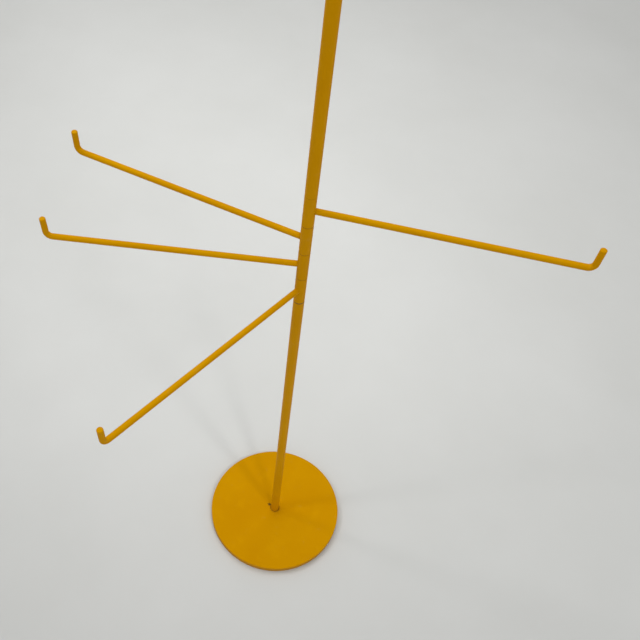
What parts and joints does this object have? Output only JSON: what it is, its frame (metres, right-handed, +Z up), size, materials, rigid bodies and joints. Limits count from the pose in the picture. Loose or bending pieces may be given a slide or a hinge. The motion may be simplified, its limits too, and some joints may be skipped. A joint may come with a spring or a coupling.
{
  "type": "swivel arm floor stand",
  "caption": "Free-standing floor stand: a slender pole on a heavy round base, with straight rod arms that swing round the pole on flush sleeves and end in upturned tips.",
  "frame": {"origin": "on the floor, on the pole's axis, at the middle of the pad's underside", "axes": "+Z up along the pole; at rest the second arm from the bottom points along -X"},
  "size_m": [0.7399, 0.4383, 1.7157],
  "materials": {
    "powder_coat": "satin ochre yellow powder coat",
    "bright_steel": "turned, zinc plated",
    "nylon": "moulded, matt black",
    "bronze": "sintered bearing bronze, oil-filled, dull brown",
    "floor_pad": "matt foam rubber"
  },
  "bodies": {
    "stand": {"base_pad": "floor_pad", "base_plate": "powder_coat", "foot_bolt": "bright_steel", "foot_washer": "bright_steel", "foot_insert": "bright_steel", "lower_tube": "powder_coat", "lower_tube_plug": "bright_steel", "swivel_spindle": "bright_steel", "thrust_washer": "nylon", "upper_tube_plug": "bright_steel", "upper_tube": "powder_coat", "top_cap": "powder_coat"},
    "arm_1": {"arm_sleeve_1": "powder_coat", "arm_rod_1": "powder_coat", "lower_bush_1": "bronze", "upper_bush_1": "bronze"},
    "arm_2": {"arm_sleeve_2": "powder_coat", "arm_rod_2": "powder_coat", "lower_bush_2": "bronze", "upper_bush_2": "bronze"},
    "arm_3": {"arm_sleeve_3": "powder_coat", "arm_rod_3": "powder_coat", "lower_bush_3": "bronze", "upper_bush_3": "bronze"},
    "arm_4": {"arm_sleeve_4": "powder_coat", "arm_rod_4": "powder_coat", "lower_bush_4": "bronze", "upper_bush_4": "bronze"}
  },
  "joints": [
    {"name": "arm_1_swing", "type": "hinge", "parent": "stand", "child": "arm_1", "pos_m": [0, 0, 0.7856], "axis": [0, 0, 1], "continuous": true},
    {"name": "arm_2_swing", "type": "hinge", "parent": "stand", "child": "arm_2", "pos_m": [0, 0, 0.8381], "axis": [0, 0, 1], "continuous": true},
    {"name": "arm_3_swing", "type": "hinge", "parent": "stand", "child": "arm_3", "pos_m": [0, 0, 0.8906], "axis": [0, 0, 1], "continuous": true},
    {"name": "arm_4_swing", "type": "hinge", "parent": "stand", "child": "arm_4", "pos_m": [0, 0, 0.9431], "axis": [0, 0, 1], "continuous": true}
  ]
}
